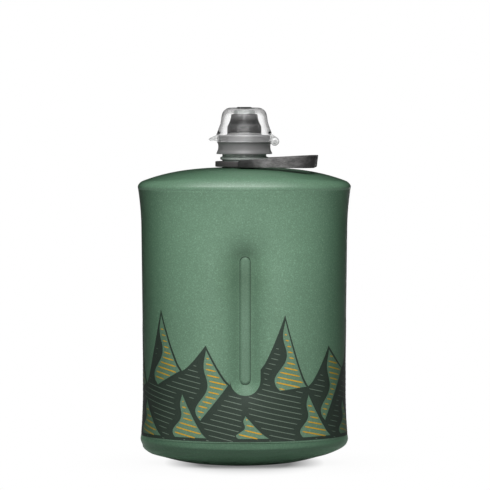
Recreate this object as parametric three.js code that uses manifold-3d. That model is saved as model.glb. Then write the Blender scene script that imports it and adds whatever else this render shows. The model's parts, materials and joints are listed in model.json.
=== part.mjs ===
// Folding water bottle: a soft welded body with an oval base and shoulder, a threaded spout, a swing handle
// on the spout, and a screw cap with a twist valve, a sip nozzle and a hinged clear dust cover.
// Millimetres, +Z up. The origin is the centre of the base's standing face; the front faces -Y.

import * as THREE from 'three';
import { mergeVertices } from 'three/addons/utils/BufferGeometryUtils.js';
import Module from 'manifold-3d';

const wasm = await Module();
wasm.setup();

// ---- driving dimensions ----
const GAP = 0.3; // clearance between neighbouring pieces
const BODY_SIDES = 56; // facets round the soft body
const CAP_SIDES = 40; // facets round the cap's larger pieces

const FILM = 0.9; // film thickness of the soft body
const OVAL_POWER = 2.2; // superellipse exponent of the body's plan outline
const SEAM_LOW_Z = 15; // weld between base and side wall
const SEAM_HIGH_Z = 160; // weld between side wall and shoulder
const WAIST_HALF_WIDTH = 59;
const WALL_LEAN = 0.9; // how much wider the wall is above its waist
const WALL_FLARE = 1.9; // flare under the rim
const WALL_FOOT = 1.2; // flare towards the base
const RIM_HALF_WIDTH = 62;
const RIM_HALF_DEPTH = 39;
const BASE_HALF_WIDTH = 60.5;
const BASE_DEPTH_RATIO = 0.632; // depth over width of the base's outline
const BELLY = 1.5; // how far the filled wall stands proud of its rims, front and back

const CREASE_HALF_WIDTH = 59.2; // crease between the shoulder's bevel and its dome
const CREASE_HALF_DEPTH = 34.8;
const DOME_TOP_Z = 172.3;
const DOME_DROP_SIDE = 7.9; // dome top down to the crease, at the sides
const DOME_DROP_FRONT = 5.7; // the same, at the front and back
const DOME_POWER = 2.9; // the dome is flat round the spout and falls away towards its crease

const STRIP_WIDTH = 5.9; // weld strip that ties the front and back walls to the inner web
const STRIP_LOW_Z = 48.3;
const STRIP_HIGH_Z = 121;
const STRIP_THICK = 0.8;
const PINCH_HALF_DEPTH = 33; // wall's half depth where the web holds it in
const PINCH_FLAT = 8.2; // half width of the flat that the strip lies on
const PINCH_REACH = 26; // how far beyond that flat the wall is drawn in

const BORE_R = 10.4; // spout bore
const SPOUT_R = 12.8;
const SPOUT_LOW_Z = 158;
const SPOUT_TOP_Z = 186.1;
const FLANGE_R = 17;
const FLANGE_Z = 168.4;
const BEAD_R = 14;
const BEAD_Z = 177.5;

const THREAD_PITCH = 3;
const THREAD_ROOT_R = 12;
const THREAD_CREST_R = 13;
const CAP_BORE_R = 13.4;
const CAP_CREST_R = 12.4;
const THREAD_Z = 182.6; // start of the spout's thread; the cap's runs half a pitch below it
const CAP_LOW_Z = 180;
const CAP_STEP_Z = 187.3; // ledge that the dust cover sits on
const CAP_TOP_Z = 191.2;
const PLATE_Z = 188.8; // underside of the cap's top plate
const CAP_R = 15.9;
const CAP_UPPER_R = 15;
const CAP_HOLE_R = 9.2;
const SEAT_R = 13.1; // valve seat and gasket, inside the cap
const LUG_R = 1.9;

const PIN_X = 17.6; // dust cover hinge, along Y
const PIN_Z = 187.4;
const PIN_R = 0.8;
const KNUCKLE_R = 2.6;
const LUG_HALF = 2.1; // half width of the cap's lug between the cover's knuckles
const KNUCKLE_HALF = 4.6; // half width over both knuckles

const NOZZLE_LOW_Z = 193.2;
const NOZZLE_TOP_Z = 203.4;
const NOZZLE_BASE_R = 9.9;
const NOZZLE_TIP_R = 7.6;
const TUBE_R = 5.2; // nozzle's inner tube
const VALVE_R = 8.6;
const COVER_TOP_Z = 207.3;

const RING_R = 16.9; // handle ring round the spout
const RING_LOW_Z = 172.6;
const RING_HIGH_Z = 175.8;
const PIVOT_Z = 174.7; // handle's trunnions, along Y
const TRUNNION_R = 1.05;
const TRUNNION_REACH = 3.7; // how far the trunnions stand out of the ring
const HANDLE_TURN = -5.5; // degrees that the handle is turned on the spout, bow towards the front
const BAIL_REACH = 41.95; // pivot to the outside of the bow
const BAIL_CORNER_R = 9; // outside corners of the bow
const BAIL_INNER = 17.7; // half the width between the strap's two sides
const BAIL_THICK = 2.8;
const BAIL_END_HEIGHT = 4.6; // strap height at the pivots
const BAIL_BOW_HEIGHT = 7.1; // strap height at the bow
const BAIL_RISE = 1.05; // how much higher the strap's middle is at the bow
const BAIL_LEAN = 0.9; // how much further out the strap's top edge is than its bottom edge at the bow

// ---- materials ----
const finish = (color, roughness, metalness = 0, opacity = 1) =>
  new THREE.MeshStandardMaterial({ color, roughness, metalness, opacity, transparent: opacity < 1 });
const GREEN_FILM = finish(0x73957d, 0.55, 0, 0.92);
const GREEN_SPOUT = finish(0x6c8f78, 0.35, 0, 0.85);
const MID_GREY = finish(0x707070, 0.45);
const DARK_GREY = finish(0x4b4b4b, 0.6);
const HANDLE_GREY = finish(0x403d3e, 0.7);
const CLEAR = finish(0xe4e8e8, 0.1, 0, 0.3);
const SILICONE = finish(0xb9bdbb, 0.5);
const BLACK_RUBBER = finish(0x222222, 0.8);
const STEEL = finish(0xc9c9c9, 0.25, 1);

// ---- helpers ----
const bottle = new THREE.Group();

function positionsOnly(geometry) {
  const bare = geometry.clone();
  bare.deleteAttribute('normal');
  bare.deleteAttribute('uv');
  return mergeVertices(bare, 1e-4);
}

// A merged closed mesh as a manifold solid; a mesh whose faces point inwards is turned the right way out.
function solid(geometry) {
  const merged = positionsOnly(geometry);
  const triVerts = new Uint32Array(merged.index.array);
  if (signedVolume(merged) < 0) {
    for (let i = 0; i < triVerts.length; i += 3) {
      [triVerts[i], triVerts[i + 1]] = [triVerts[i + 1], triVerts[i]];
    }
  }
  const vertProperties = new Float32Array(merged.attributes.position.array);
  return new wasm.Manifold(new wasm.Mesh({ numProp: 3, vertProperties, triVerts }));
}

function signedVolume(merged) {
  const places = merged.attributes.position;
  const corners = [0, 1, 2].map(() => new THREE.Vector3());
  let volume = 0;
  for (let i = 0; i < merged.index.count; i += 3) {
    corners.forEach((corner, k) => corner.fromBufferAttribute(places, merged.index.getX(i + k)));
    volume += corners[0].dot(corners[1].clone().cross(corners[2])) / 6;
  }
  return volume;
}

function geometryOf(manifold) {
  const mesh = manifold.getMesh();
  const geometry = new THREE.BufferGeometry();
  geometry.setAttribute('position', new THREE.BufferAttribute(new Float32Array(mesh.vertProperties), 3));
  geometry.setIndex(new THREE.BufferAttribute(new Uint32Array(mesh.triVerts), 1));
  geometry.computeVertexNormals();
  return geometry;
}

function addPiece(name, shape, material) {
  const mesh = new THREE.Mesh(geometryOf(shape), material);
  mesh.name = name;
  bottle.add(mesh);
}

// Revolves [radius, z] points about Z. A profile starts and ends on the axis or closes on itself.
function revolved(points, segments = 48) {
  const geometry = new THREE.LatheGeometry(points.map(([r, z]) => new THREE.Vector2(r, z)), segments);
  return geometry.rotateX(Math.PI / 2);
}

const turned = (points, segments) => solid(revolved(points, segments));
const ring = (rIn, rOut, zLow, zHigh, segments) =>
  turned([[rIn, zLow], [rOut, zLow], [rOut, zHigh], [rIn, zHigh], [rIn, zLow]], segments);
const disc = (r, zLow, zHigh, segments) => turned([[0, zLow], [r, zLow], [r, zHigh], [0, zHigh]], segments);

// Moves every vertex of a geometry by a function of its place.
function warp(geometry, move) {
  const position = geometry.attributes.position;
  const point = new THREE.Vector3();
  for (let i = 0; i < position.count; i += 1) {
    point.fromBufferAttribute(position, i);
    move(point);
    position.setXYZ(i, point.x, point.y, point.z);
  }
  return geometry;
}

// A flat outline drawn in X and Z, given thickness along Y between two planes.
function slab(shape, yLow, yHigh, curveSegments = 12) {
  const depth = yHigh - yLow;
  const geometry = new THREE.ExtrudeGeometry(shape, { depth, bevelEnabled: false, curveSegments });
  return solid(geometry.rotateX(Math.PI / 2).translate(0, yHigh, 0));
}

// A round bar along Y.
function rod(x, z, r, yLow, yHigh, segments = 20) {
  const geometry = new THREE.CylinderGeometry(r, r, yHigh - yLow, segments);
  return solid(geometry.translate(x, (yLow + yHigh) / 2, z));
}

// ---- soft body outlines ----
// The sides lean out slowly above the waist, flare to the rim, and widen again towards the base.
function wallHalfWidth(z) {
  const share = (distance, span) => THREE.MathUtils.clamp(distance / span, 0, 1);
  const lean = share(z - SEAM_LOW_Z - 45, 75);
  const flare = share(z - SEAM_HIGH_Z + 25, 25);
  const foot = share(SEAM_LOW_Z + 30 - z, 30);
  return WAIST_HALF_WIDTH + WALL_LEAN * lean + WALL_FLARE * flare ** 2 + WALL_FOOT * foot ** 2;
}

function wallHalfDepth(z) {
  const along = (z - SEAM_LOW_Z) / (SEAM_HIGH_Z - SEAM_LOW_Z);
  return RIM_HALF_DEPTH - 0.5 * (1 - along) + BELLY * Math.sin(Math.PI * along);
}

// How strongly the inner web holds the front and back walls in, 1 at the weld strip and 0 far from it.
function pinch(x, z) {
  const nearest = THREE.MathUtils.clamp(z, STRIP_LOW_Z + STRIP_WIDTH / 2, STRIP_HIGH_Z - STRIP_WIDTH / 2);
  const away = Math.max(Math.hypot(x, z - nearest) - PINCH_FLAT, 0);
  return Math.max(1 - away / PINCH_REACH, 0) ** 2;
}

// A point of a circle moved to the same direction on a superellipse.
function oval(point, halfWidth, halfDepth, power) {
  const r = Math.hypot(point.x, point.y) || 1;
  const stretch = (c, half) => Math.sign(c) * half * Math.abs(c) ** (2 / power);
  point.x = stretch(point.x / r, halfWidth);
  point.y = stretch(point.y / r, halfDepth);
}

// ---- soft body ----
function sideWall() {
  const heights = [SEAM_LOW_Z + 0.2, 25, 36, 46.7, 61, 83, 105, 122.7, 132, 140, 147, 153, SEAM_HIGH_Z - 0.1];
  const outer = heights.map((z) => [wallHalfWidth(z), z]);
  const inner = heights.map((z) => [wallHalfWidth(z) - FILM, z]).reverse();
  const tube = revolved([...outer, ...inner, outer[0]], BODY_SIDES);
  return solid(warp(tube, (point) => {
    const inset = wallHalfWidth(point.z) - Math.hypot(point.x, point.y);
    oval(point, wallHalfWidth(point.z) - inset, wallHalfDepth(point.z) - inset, OVAL_POWER);
    const hold = pinch(point.x, point.z);
    if (hold > 0) {
      const held = Math.sign(point.y) * (PINCH_HALF_DEPTH - inset);
      point.y = point.y * (1 - hold) + held * hold;
    }
  }));
}

function shoulder() {
  const domeZ = (r) => DOME_TOP_Z - DOME_DROP_SIDE * (r / CREASE_HALF_WIDTH) ** DOME_POWER;
  const radii = [CREASE_HALF_WIDTH, 56, 50, 42, 32, 22, SPOUT_R + GAP];
  const low = SEAM_HIGH_Z + 0.2;
  const outer = [[RIM_HALF_WIDTH, low], [RIM_HALF_WIDTH - 0.2, low + 1], ...radii.map((r) => [r, domeZ(r)])];
  const inner = [...radii.map((r) => [r, domeZ(r) - 1]).reverse(), [RIM_HALF_WIDTH - FILM, low]];
  const shell = revolved([...outer, ...inner, outer[0]], BODY_SIDES);
  const neckR = SPOUT_R + GAP;
  return solid(warp(shell, (point) => {
    const r = Math.hypot(point.x, point.y);
    const front = (point.y / r) ** 2;
    const lift = (DOME_DROP_SIDE - DOME_DROP_FRONT) * front;
    const onDome = Math.min(r / CREASE_HALF_WIDTH, 1) ** DOME_POWER;
    const onBevel = THREE.MathUtils.clamp((RIM_HALF_WIDTH - r) / (RIM_HALF_WIDTH - CREASE_HALF_WIDTH), 0, 1);
    const dome = (r - neckR) / (CREASE_HALF_WIDTH - neckR);
    const halfDepth = r <= CREASE_HALF_WIDTH
      ? THREE.MathUtils.lerp(neckR, CREASE_HALF_DEPTH, dome)
      : THREE.MathUtils.lerp(RIM_HALF_DEPTH, CREASE_HALF_DEPTH, onBevel);
    oval(point, r, halfDepth, THREE.MathUtils.lerp(2, OVAL_POWER, Math.min(dome, 1)));
    point.z += lift * (r <= CREASE_HALF_WIDTH ? onDome : onBevel);
  }));
}

function basePan() {
  const outer = [
    [59.9, SEAM_LOW_Z - 0.1], [BASE_HALF_WIDTH, 14.3], [60.1, 12.4], [59.1, 10.3], [57.7, 9], [53.5, 6.5],
    [45.8, 4.1], [36.2, 1.8], [28, 0.5], [23, 0], [0, 0],
  ];
  const inner = [
    [0, 1.2], [23, 1.2], [36, 3], [45.4, 5.4], [52.9, 7.8], [56.8, 10.2], [58.6, 13],
    [58.7, SEAM_LOW_Z - 0.1],
  ];
  const pan = revolved([...outer, ...inner, outer[0]].reverse(), BODY_SIDES);
  return solid(warp(pan, (point) => {
    const r = Math.hypot(point.x, point.y);
    oval(point, r, r * BASE_DEPTH_RATIO, OVAL_POWER);
  }));
}

// The inner web ties front to back, so that the filled bottle stays flat.
function baffleWeb() {
  const halfDepth = PINCH_HALF_DEPTH - FILM - 0.5;
  const web = new THREE.BoxGeometry(1, halfDepth * 2, STRIP_HIGH_Z - STRIP_LOW_Z - 7);
  return solid(web.translate(0, 0, (STRIP_HIGH_Z + STRIP_LOW_Z) / 2));
}

function weldStrip(side) {
  const r = STRIP_WIDTH / 2;
  const outline = new THREE.Shape();
  outline.absarc(0, STRIP_HIGH_Z - r, r, 0, Math.PI);
  outline.absarc(0, STRIP_LOW_Z + r, r, Math.PI, 2 * Math.PI);
  const near = PINCH_HALF_DEPTH + GAP;
  const [low, high] = [side * near, side * (near + STRIP_THICK)].sort((a, b) => a - b);
  return slab(outline, low, high);
}

// ---- spout ----
// A straight bar with a trapezoid section, bent round into a helix that fades out at both ends.
function threadRidge({ rootR, crestR, zStart, turns }) {
  const width = 1.3;
  const crest = 0.6;
  const section = new THREE.Shape([
    new THREE.Vector2(rootR, -width / 2),
    new THREE.Vector2(crestR, -crest / 2),
    new THREE.Vector2(crestR, crest / 2),
    new THREE.Vector2(rootR, width / 2),
  ]);
  const steps = Math.round(turns * 32);
  const bar = new THREE.ExtrudeGeometry(section, { depth: 1, steps, bevelEnabled: false });
  const fade = 0.06;
  return solid(warp(bar, (point) => {
    const along = point.z;
    const full = Math.min(1, along / fade, (1 - along) / fade);
    const r = rootR + (point.x - rootR) * Math.max(full, 0.05);
    const angle = 2 * Math.PI * turns * along;
    const z = zStart + THREAD_PITCH * turns * along + point.y;
    point.set(r * Math.cos(angle), r * Math.sin(angle), z);
  }));
}

function neckSpout() {
  const body = turned([
    [BORE_R, SPOUT_LOW_Z], [SPOUT_R, SPOUT_LOW_Z], [SPOUT_R, FLANGE_Z], [FLANGE_R, FLANGE_Z],
    [FLANGE_R, FLANGE_Z + 1.2], [SPOUT_R, FLANGE_Z + 1.2], [SPOUT_R, BEAD_Z - 0.9],
    [BEAD_R - 0.3, BEAD_Z - 0.7], [BEAD_R, BEAD_Z],
    [BEAD_R - 0.3, BEAD_Z + 0.7], [SPOUT_R, BEAD_Z + 0.9], [SPOUT_R, CAP_LOW_Z + GAP],
    [THREAD_ROOT_R, CAP_LOW_Z + GAP + 0.4], [THREAD_ROOT_R, SPOUT_TOP_Z], [BORE_R, SPOUT_TOP_Z],
    [BORE_R, SPOUT_LOW_Z],
  ], 40);
  const thread = threadRidge({
    rootR: THREAD_ROOT_R - 0.3, crestR: THREAD_CREST_R, zStart: THREAD_Z, turns: 0.9,
  });
  return body.add(thread);
}

// ---- cap ----
function capCollar() {
  const shell = turned([
    [CAP_BORE_R, CAP_LOW_Z], [16.3, CAP_LOW_Z], [16.1, 180.9], [15.4, 182.2], [15.1, 184], [15.25, 185.8],
    [CAP_R, 187], [CAP_R, CAP_STEP_Z], [CAP_UPPER_R, CAP_STEP_Z], [CAP_UPPER_R, CAP_TOP_Z - 0.6],
    [CAP_UPPER_R - 0.6, CAP_TOP_Z], [CAP_HOLE_R, CAP_TOP_Z], [CAP_HOLE_R, PLATE_Z], [CAP_BORE_R, PLATE_Z],
    [CAP_BORE_R, CAP_LOW_Z],
  ], CAP_SIDES);
  const thread = threadRidge({
    rootR: CAP_BORE_R + 0.3, crestR: CAP_CREST_R, zStart: THREAD_Z - THREAD_PITCH / 2, turns: 1.2,
  });
  const outline = new THREE.Shape();
  outline.moveTo(14.2, PIN_Z - LUG_R);
  outline.lineTo(PIN_X, PIN_Z - LUG_R);
  outline.absarc(PIN_X, PIN_Z, LUG_R, -Math.PI / 2, Math.PI / 2);
  outline.lineTo(14.2, PIN_Z + LUG_R);
  const lug = slab(outline, -LUG_HALF, LUG_HALF, 10);
  const knuckleRoom = rod(PIN_X, PIN_Z, KNUCKLE_R + 0.4, -KNUCKLE_HALF - 0.4, KNUCKLE_HALF + 0.4);
  const pinHole = rod(PIN_X, PIN_Z, PIN_R + GAP, -LUG_HALF - 1, LUG_HALF + 1, 16);
  return shell.add(thread).subtract(knuckleRoom).add(lug).subtract(pinHole);
}

// A disc with two opposite quarter-circle ports; the nozzle's ports turn over the seat's.
function portedDisc(r, zLow, zHigh, turn) {
  const ports = [0, Math.PI].map((start) => {
    const port = new THREE.Shape();
    const from = start + turn - Math.PI / 5;
    const to = start + turn + Math.PI / 5;
    port.absarc(0, 0, 4.6, from, to);
    port.absarc(0, 0, 2.2, to, from, true);
    const depth = zHigh - zLow + 2;
    const cut = new THREE.ExtrudeGeometry(port, { depth, bevelEnabled: false, curveSegments: 8 });
    return solid(cut.translate(0, 0, zLow - 1));
  });
  return ports.reduce((plate, port) => plate.subtract(port), disc(r, zLow, zHigh, 40));
}

function nozzleCore() {
  const low = PLATE_Z + 1;
  const base = portedDisc(VALVE_R + GAP, low, low + 0.6, Math.PI / 2);
  const skirtLow = NOZZLE_LOW_Z - 0.2;
  const skirtHigh = NOZZLE_LOW_Z + 0.5;
  const top = NOZZLE_TOP_Z - 3;
  const bore = TUBE_R - 1.2;
  const tube = turned([
    [TUBE_R - 0.6, low + 0.4], [6.6, low + 0.4], [6.6, skirtLow], [9.2, skirtLow], [9.2, skirtHigh],
    [TUBE_R, skirtHigh], [TUBE_R, top], [bore, top], [bore, skirtLow - 1], [TUBE_R - 0.6, low + 0.4],
  ], 36);
  return base.add(tube);
}

function nozzleSleeve() {
  const inner = TUBE_R + GAP;
  const roofZ = NOZZLE_TOP_Z - 1.6;
  const ledgeZ = NOZZLE_LOW_Z + 0.8;
  return turned([
    [9.5, NOZZLE_LOW_Z], [NOZZLE_BASE_R, NOZZLE_LOW_Z], [NOZZLE_BASE_R - 0.1, 195.4], [9.1, 196.4],
    [8, 198.6], [NOZZLE_TIP_R, 200], [NOZZLE_TIP_R, NOZZLE_TOP_Z - 2.2], [NOZZLE_TIP_R - 0.9, NOZZLE_TOP_Z],
    [3.8, NOZZLE_TOP_Z], [3.5, roofZ], [inner, roofZ], [inner, ledgeZ], [9.5, ledgeZ], [9.5, NOZZLE_LOW_Z],
  ], 36);
}

// A thin domed disc whose cross slit opens under pressure.
function slitValve() {
  const low = NOZZLE_TOP_Z - 2.7;
  const high = NOZZLE_TOP_Z - 1.9;
  const plate = turned([[0, low], [TUBE_R, low], [TUBE_R, high], [3, high - 0.2], [0, high]], 32);
  const slits = [0, Math.PI / 2].map((turn) => {
    const cut = new THREE.BoxGeometry(4, 0.2, 3);
    return solid(cut.rotateZ(turn).translate(0, 0, low));
  });
  return slits.reduce((valve, slit) => valve.subtract(slit), plate);
}

function roundRing(r, thick, z) {
  return solid(new THREE.TorusGeometry(r, thick, 8, 28).translate(0, 0, z));
}

// ---- dust cover ----
function dustCover() {
  const low = CAP_STEP_Z + 0.25;
  const shell = turned([
    [15.4, low], [16.6, low], [16.4, 190.8], [15.4, 193.5], [14.6, 195.7], [13.85, 197.9], [13.5, 199.8],
    [13.15, 202.6], [12.2, 205], [10.2, 206.5], [8.5, 206.9], [4.2, 206.9], [4, COVER_TOP_Z],
    [0, COVER_TOP_Z],
    [0, 205.5], [8.2, 205.4], [9.7, 204.9], [11, 203.4], [11.7, 201.8], [12.05, 199.5], [12.45, 197.4],
    [13.2, 195.2], [14, 193], [15.3, 190.8], [15.4, low],
  ], CAP_SIDES);
  const tab = new THREE.Shape();
  tab.moveTo(-15.8, 187.7);
  tab.lineTo(-20, 187.7);
  tab.lineTo(-20.6, 188.3);
  tab.lineTo(-20.2, 189);
  tab.lineTo(-18, 190);
  tab.lineTo(-15.8, 191);
  const arm = new THREE.Shape();
  arm.moveTo(14.6, 192.6);
  arm.absarc(PIN_X, PIN_Z, KNUCKLE_R, Math.PI / 4, -Math.PI, true);
  arm.lineTo(14.6, PIN_Z + 2);
  const pinHole = rod(PIN_X, PIN_Z, PIN_R + GAP, -KNUCKLE_HALF - 1, KNUCKLE_HALF + 1, 16);
  const knuckles = slab(arm, -KNUCKLE_HALF, KNUCKLE_HALF, 12).subtract(pinHole);
  const inside = turned([
    [0, CAP_LOW_Z], [15.4, CAP_LOW_Z], [15.4, 191], [14.3, 193.1], [0, 193.1],
  ], CAP_SIDES);
  const collarRoom = disc(CAP_R + 0.25, CAP_LOW_Z, CAP_STEP_Z + 0.2, CAP_SIDES);
  const lugRoom = slab(roomForLug(), -LUG_HALF - GAP, LUG_HALF + GAP);
  const hinged = shell.add(knuckles.subtract(inside).subtract(collarRoom)).subtract(lugRoom);
  return hinged.add(slab(tab, -4.5, 4.5).subtract(inside));
}

// The space between the two knuckles, round the cap's lug.
function roomForLug() {
  const room = new THREE.Shape();
  room.moveTo(12, PIN_Z + 2.8);
  room.lineTo(24, PIN_Z + 2.8);
  room.lineTo(24, PIN_Z - 4);
  room.lineTo(12, PIN_Z - 4);
  return room;
}

// ---- handle ----
function handleRing() {
  const band = ring(SPOUT_R + 0.6, RING_R, RING_LOW_Z, RING_HIGH_Z, CAP_SIDES);
  const reach = RING_R + TRUNNION_REACH;
  const trunnions = rod(0, PIVOT_Z, TRUNNION_R, -reach, reach, 16);
  const outside = trunnions.subtract(disc(SPOUT_R + 1, PIVOT_Z - 3, PIVOT_Z + 3));
  return band.add(outside.rotate([0, 0, HANDLE_TURN]));
}

// A rounded U in plan, open at its straight ends.
function bailPlan(endX, inner, outer) {
  const cornerX = BAIL_REACH - BAIL_CORNER_R;
  const cornerY = outer - BAIL_CORNER_R;
  const innerR = BAIL_CORNER_R - (outer - inner);
  const quarter = Math.PI / 2;
  const plan = new THREE.Shape();
  plan.moveTo(endX, -outer);
  plan.lineTo(cornerX, -outer);
  plan.absarc(cornerX, -cornerY, BAIL_CORNER_R, -quarter, 0);
  plan.absarc(cornerX, cornerY, BAIL_CORNER_R, 0, quarter);
  plan.lineTo(endX, outer);
  plan.lineTo(endX, inner);
  plan.lineTo(cornerX, inner);
  plan.absarc(cornerX, cornerY, innerR, quarter, 0, true);
  plan.absarc(cornerX, -cornerY, innerR, 0, -quarter, true);
  plan.lineTo(endX, -inner);
  return plan;
}

// A flat strap bent into a U, taller at its bow than at its pivots.
function bailHandle() {
  const inner = BAIL_INNER;
  const outer = inner + BAIL_THICK;
  const endX = -BAIL_END_HEIGHT / 2;
  const strap = new THREE.ExtrudeGeometry(bailPlan(endX, inner, outer), {
    depth: 1, bevelEnabled: false, curveSegments: 10,
  });
  const shaped = solid(warp(strap, (point) => {
    const along = THREE.MathUtils.clamp(point.x / BAIL_REACH, 0, 1);
    const height = THREE.MathUtils.lerp(BAIL_END_HEIGHT, BAIL_BOW_HEIGHT, along);
    const up = point.z - 0.5;
    point.x += BAIL_LEAN * up * along ** 2;
    point.z = PIVOT_Z + BAIL_RISE * along + up * height;
  }));
  const eyes = rod(0, PIVOT_Z, TRUNNION_R + GAP, -outer - 1, outer + 1, 16);
  return shaped.subtract(squareEnds(endX, outer)).subtract(eyes).rotate([0, 0, HANDLE_TURN]);
}

// What rounding the strap's two ends about the pivot takes away.
function squareEnds(endX, outer) {
  const r = BAIL_END_HEIGHT / 2;
  const block = new THREE.Shape();
  block.moveTo(endX - 1, PIVOT_Z - r - 1);
  block.lineTo(0, PIVOT_Z - r - 1);
  block.lineTo(0, PIVOT_Z + r + 1);
  block.lineTo(endX - 1, PIVOT_Z + r + 1);
  return slab(block, -outer - 1, outer + 1).subtract(rod(0, PIVOT_Z, r, -outer - 2, outer + 2, 32));
}

// ---- assembly ----
addPiece('side_wall', sideWall(), GREEN_FILM);
addPiece('shoulder', shoulder(), GREEN_FILM);
addPiece('base_pan', basePan(), GREEN_FILM);
addPiece('baffle_web', baffleWeb(), GREEN_FILM);
addPiece('front_weld_strip', weldStrip(-1), GREEN_FILM);
addPiece('back_weld_strip', weldStrip(1), GREEN_FILM);
addPiece('neck_spout', neckSpout(), GREEN_SPOUT);
addPiece('cap_collar', capCollar(), MID_GREY);
addPiece('cap_gasket', ring(10.8, SEAT_R, SPOUT_TOP_Z + GAP, SPOUT_TOP_Z + 1.1, 36), BLACK_RUBBER);
addPiece('valve_seat', portedDisc(SEAT_R, SPOUT_TOP_Z + 1.4, PLATE_Z - GAP, 0), MID_GREY);
addPiece('valve_seal', portedDisc(VALVE_R, PLATE_Z, PLATE_Z + 0.7, 0), BLACK_RUBBER);
addPiece('nozzle_core', nozzleCore(), MID_GREY);
addPiece('nozzle_o_ring', roundRing(7.45, 0.5, CAP_TOP_Z - 0.2), BLACK_RUBBER);
addPiece('retaining_ring', ring(7, 10.3, CAP_TOP_Z + 0.4, CAP_TOP_Z + 1.5, 36), MID_GREY);
addPiece('nozzle_sleeve', nozzleSleeve(), DARK_GREY);
addPiece('slit_valve', slitValve(), SILICONE);
addPiece('dust_cover', dustCover(), CLEAR);
addPiece('cover_plug', ring(3, 6.1, NOZZLE_TOP_Z + GAP, COVER_TOP_Z - 2, 32), SILICONE);
addPiece('hinge_pin', rod(PIN_X, PIN_Z, PIN_R, -KNUCKLE_HALF, KNUCKLE_HALF, 16), STEEL);
addPiece('handle_ring', handleRing(), HANDLE_GREY);
addPiece('bail_handle', bailHandle(), HANDLE_GREY);

export default bottle;
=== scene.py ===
"""Looks of the folding water bottle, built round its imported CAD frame.

Lengths in this script are millimetres, turned into metres where a mesh is made. The frame's axes are kept:
+Z up, +X to the right seen from the front, and the front faces -Y.
"""

import json
import math
import random

import bmesh
import bpy
import numpy as np
from mathutils import Matrix, Vector, geometry


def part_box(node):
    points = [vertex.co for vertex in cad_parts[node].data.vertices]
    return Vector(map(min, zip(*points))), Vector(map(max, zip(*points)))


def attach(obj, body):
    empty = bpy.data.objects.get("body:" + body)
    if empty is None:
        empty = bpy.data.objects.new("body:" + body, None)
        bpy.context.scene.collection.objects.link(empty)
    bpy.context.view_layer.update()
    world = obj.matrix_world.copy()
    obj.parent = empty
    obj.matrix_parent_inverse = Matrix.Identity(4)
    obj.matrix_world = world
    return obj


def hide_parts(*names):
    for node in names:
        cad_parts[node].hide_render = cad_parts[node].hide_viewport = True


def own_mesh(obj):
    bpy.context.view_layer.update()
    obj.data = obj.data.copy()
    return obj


MM = 0.001
TAU = 2 * math.pi

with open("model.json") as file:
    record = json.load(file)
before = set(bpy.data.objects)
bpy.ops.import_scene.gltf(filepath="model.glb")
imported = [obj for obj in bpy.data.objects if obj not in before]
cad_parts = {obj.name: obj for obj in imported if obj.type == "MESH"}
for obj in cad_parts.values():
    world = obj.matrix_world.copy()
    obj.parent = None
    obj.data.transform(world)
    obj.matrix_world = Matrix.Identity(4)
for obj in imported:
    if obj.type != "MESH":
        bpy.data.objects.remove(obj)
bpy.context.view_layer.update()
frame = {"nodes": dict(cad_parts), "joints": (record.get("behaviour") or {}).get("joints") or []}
NODES = frame["nodes"]


def box_mm(node):
    """Lowest and highest corner of a CAD node, in millimetres."""
    low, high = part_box(node)
    return Vector(low) / MM, Vector(high) / MM


# ---- sizes from the frame ----
WALL_LOW, WALL_HIGH = box_mm("side_wall")
SHOULDER_LOW, SHOULDER_HIGH = box_mm("shoulder")
BASE_HIGH = box_mm("base_pan")[1]
STRIP_LOW, STRIP_HIGH = box_mm("front_weld_strip")
COVER_HIGH = box_mm("dust_cover")[1]
COLLAR_LOW, COLLAR_HIGH = box_mm("cap_collar")
SPOUT_HIGH = box_mm("neck_spout")[1]
SLEEVE_LOW, SLEEVE_HIGH = box_mm("nozzle_sleeve")
RETAINER_LOW, RETAINER_HIGH = box_mm("retaining_ring")
RING_LOW, RING_HIGH = box_mm("handle_ring")
PIN_LOW, PIN_HIGH = box_mm("hinge_pin")
JOINTS = {joint["name"]: joint for joint in frame["joints"]}

SEAM_LOW_Z = WALL_LOW.z
SEAM_HIGH_Z = WALL_HIGH.z
RIM_HALF_WIDTH = SHOULDER_HIGH.x
RIM_HALF_DEPTH = SHOULDER_HIGH.y
BASE_HALF_WIDTH = BASE_HIGH.x
BASE_HALF_DEPTH = BASE_HIGH.y
DOME_TOP_Z = SHOULDER_HIGH.z
STRIP_R = STRIP_HIGH.x
RIM_Z = SHOULDER_LOW.z + 0.6
HELD_HALF_DEPTH = -STRIP_HIGH.y - 0.3

PIN_X = (PIN_LOW.x + PIN_HIGH.x) / 2
PIN_Z = (PIN_LOW.z + PIN_HIGH.z) / 2
LUG_HALF = 2.1
LUG_R = 1.5
KNUCKLE_HALF = PIN_HIGH.y
KNUCKLE_R = 2.6
COVER_RIM_R = 16.6

# ---- soft body shape ----
OVAL_POWER = 2.2
WAIST_HALF_WIDTH = 59
WALL_LEAN, WALL_FLARE, WALL_FOOT = 0.9, 1.9, 1.2
BELLY = 2.8
RIM_LEAN = 2.0  # how far the wall leans out to the rim at the front and the back
PINCH_REACH = 36
SPOUT_R = 12.8
CREASE_HALF_WIDTH = 59.2
CREASE_HALF_DEPTH = 34.8
DOME_DROP_SIDE = 7.9
DOME_DROP_FRONT = 5.7
DOME_POWER = 2.9
FILM_THICK = 0.9
BASE_SETTLE = 2.3  # how far the base has settled to the left
AROUND = 240  # columns round the soft body
WALL_ROWS = 110


# ---- mesh helpers ----
def add_mesh(name, points_mm, faces, material, smooth_angle=None):
    """A mesh object from points in millimetres. With smooth_angle, edges sharper than it stay hard."""
    mesh = bpy.data.meshes.new(name)
    mesh.from_pydata([tuple(MM * float(c) for c in p) for p in points_mm], [], faces)
    piece = bpy.data.objects.new(name, mesh)
    bpy.context.scene.collection.objects.link(piece)
    mesh.materials.append(material)
    settle_normals(mesh)
    shade(mesh, smooth_angle)
    return piece


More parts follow.
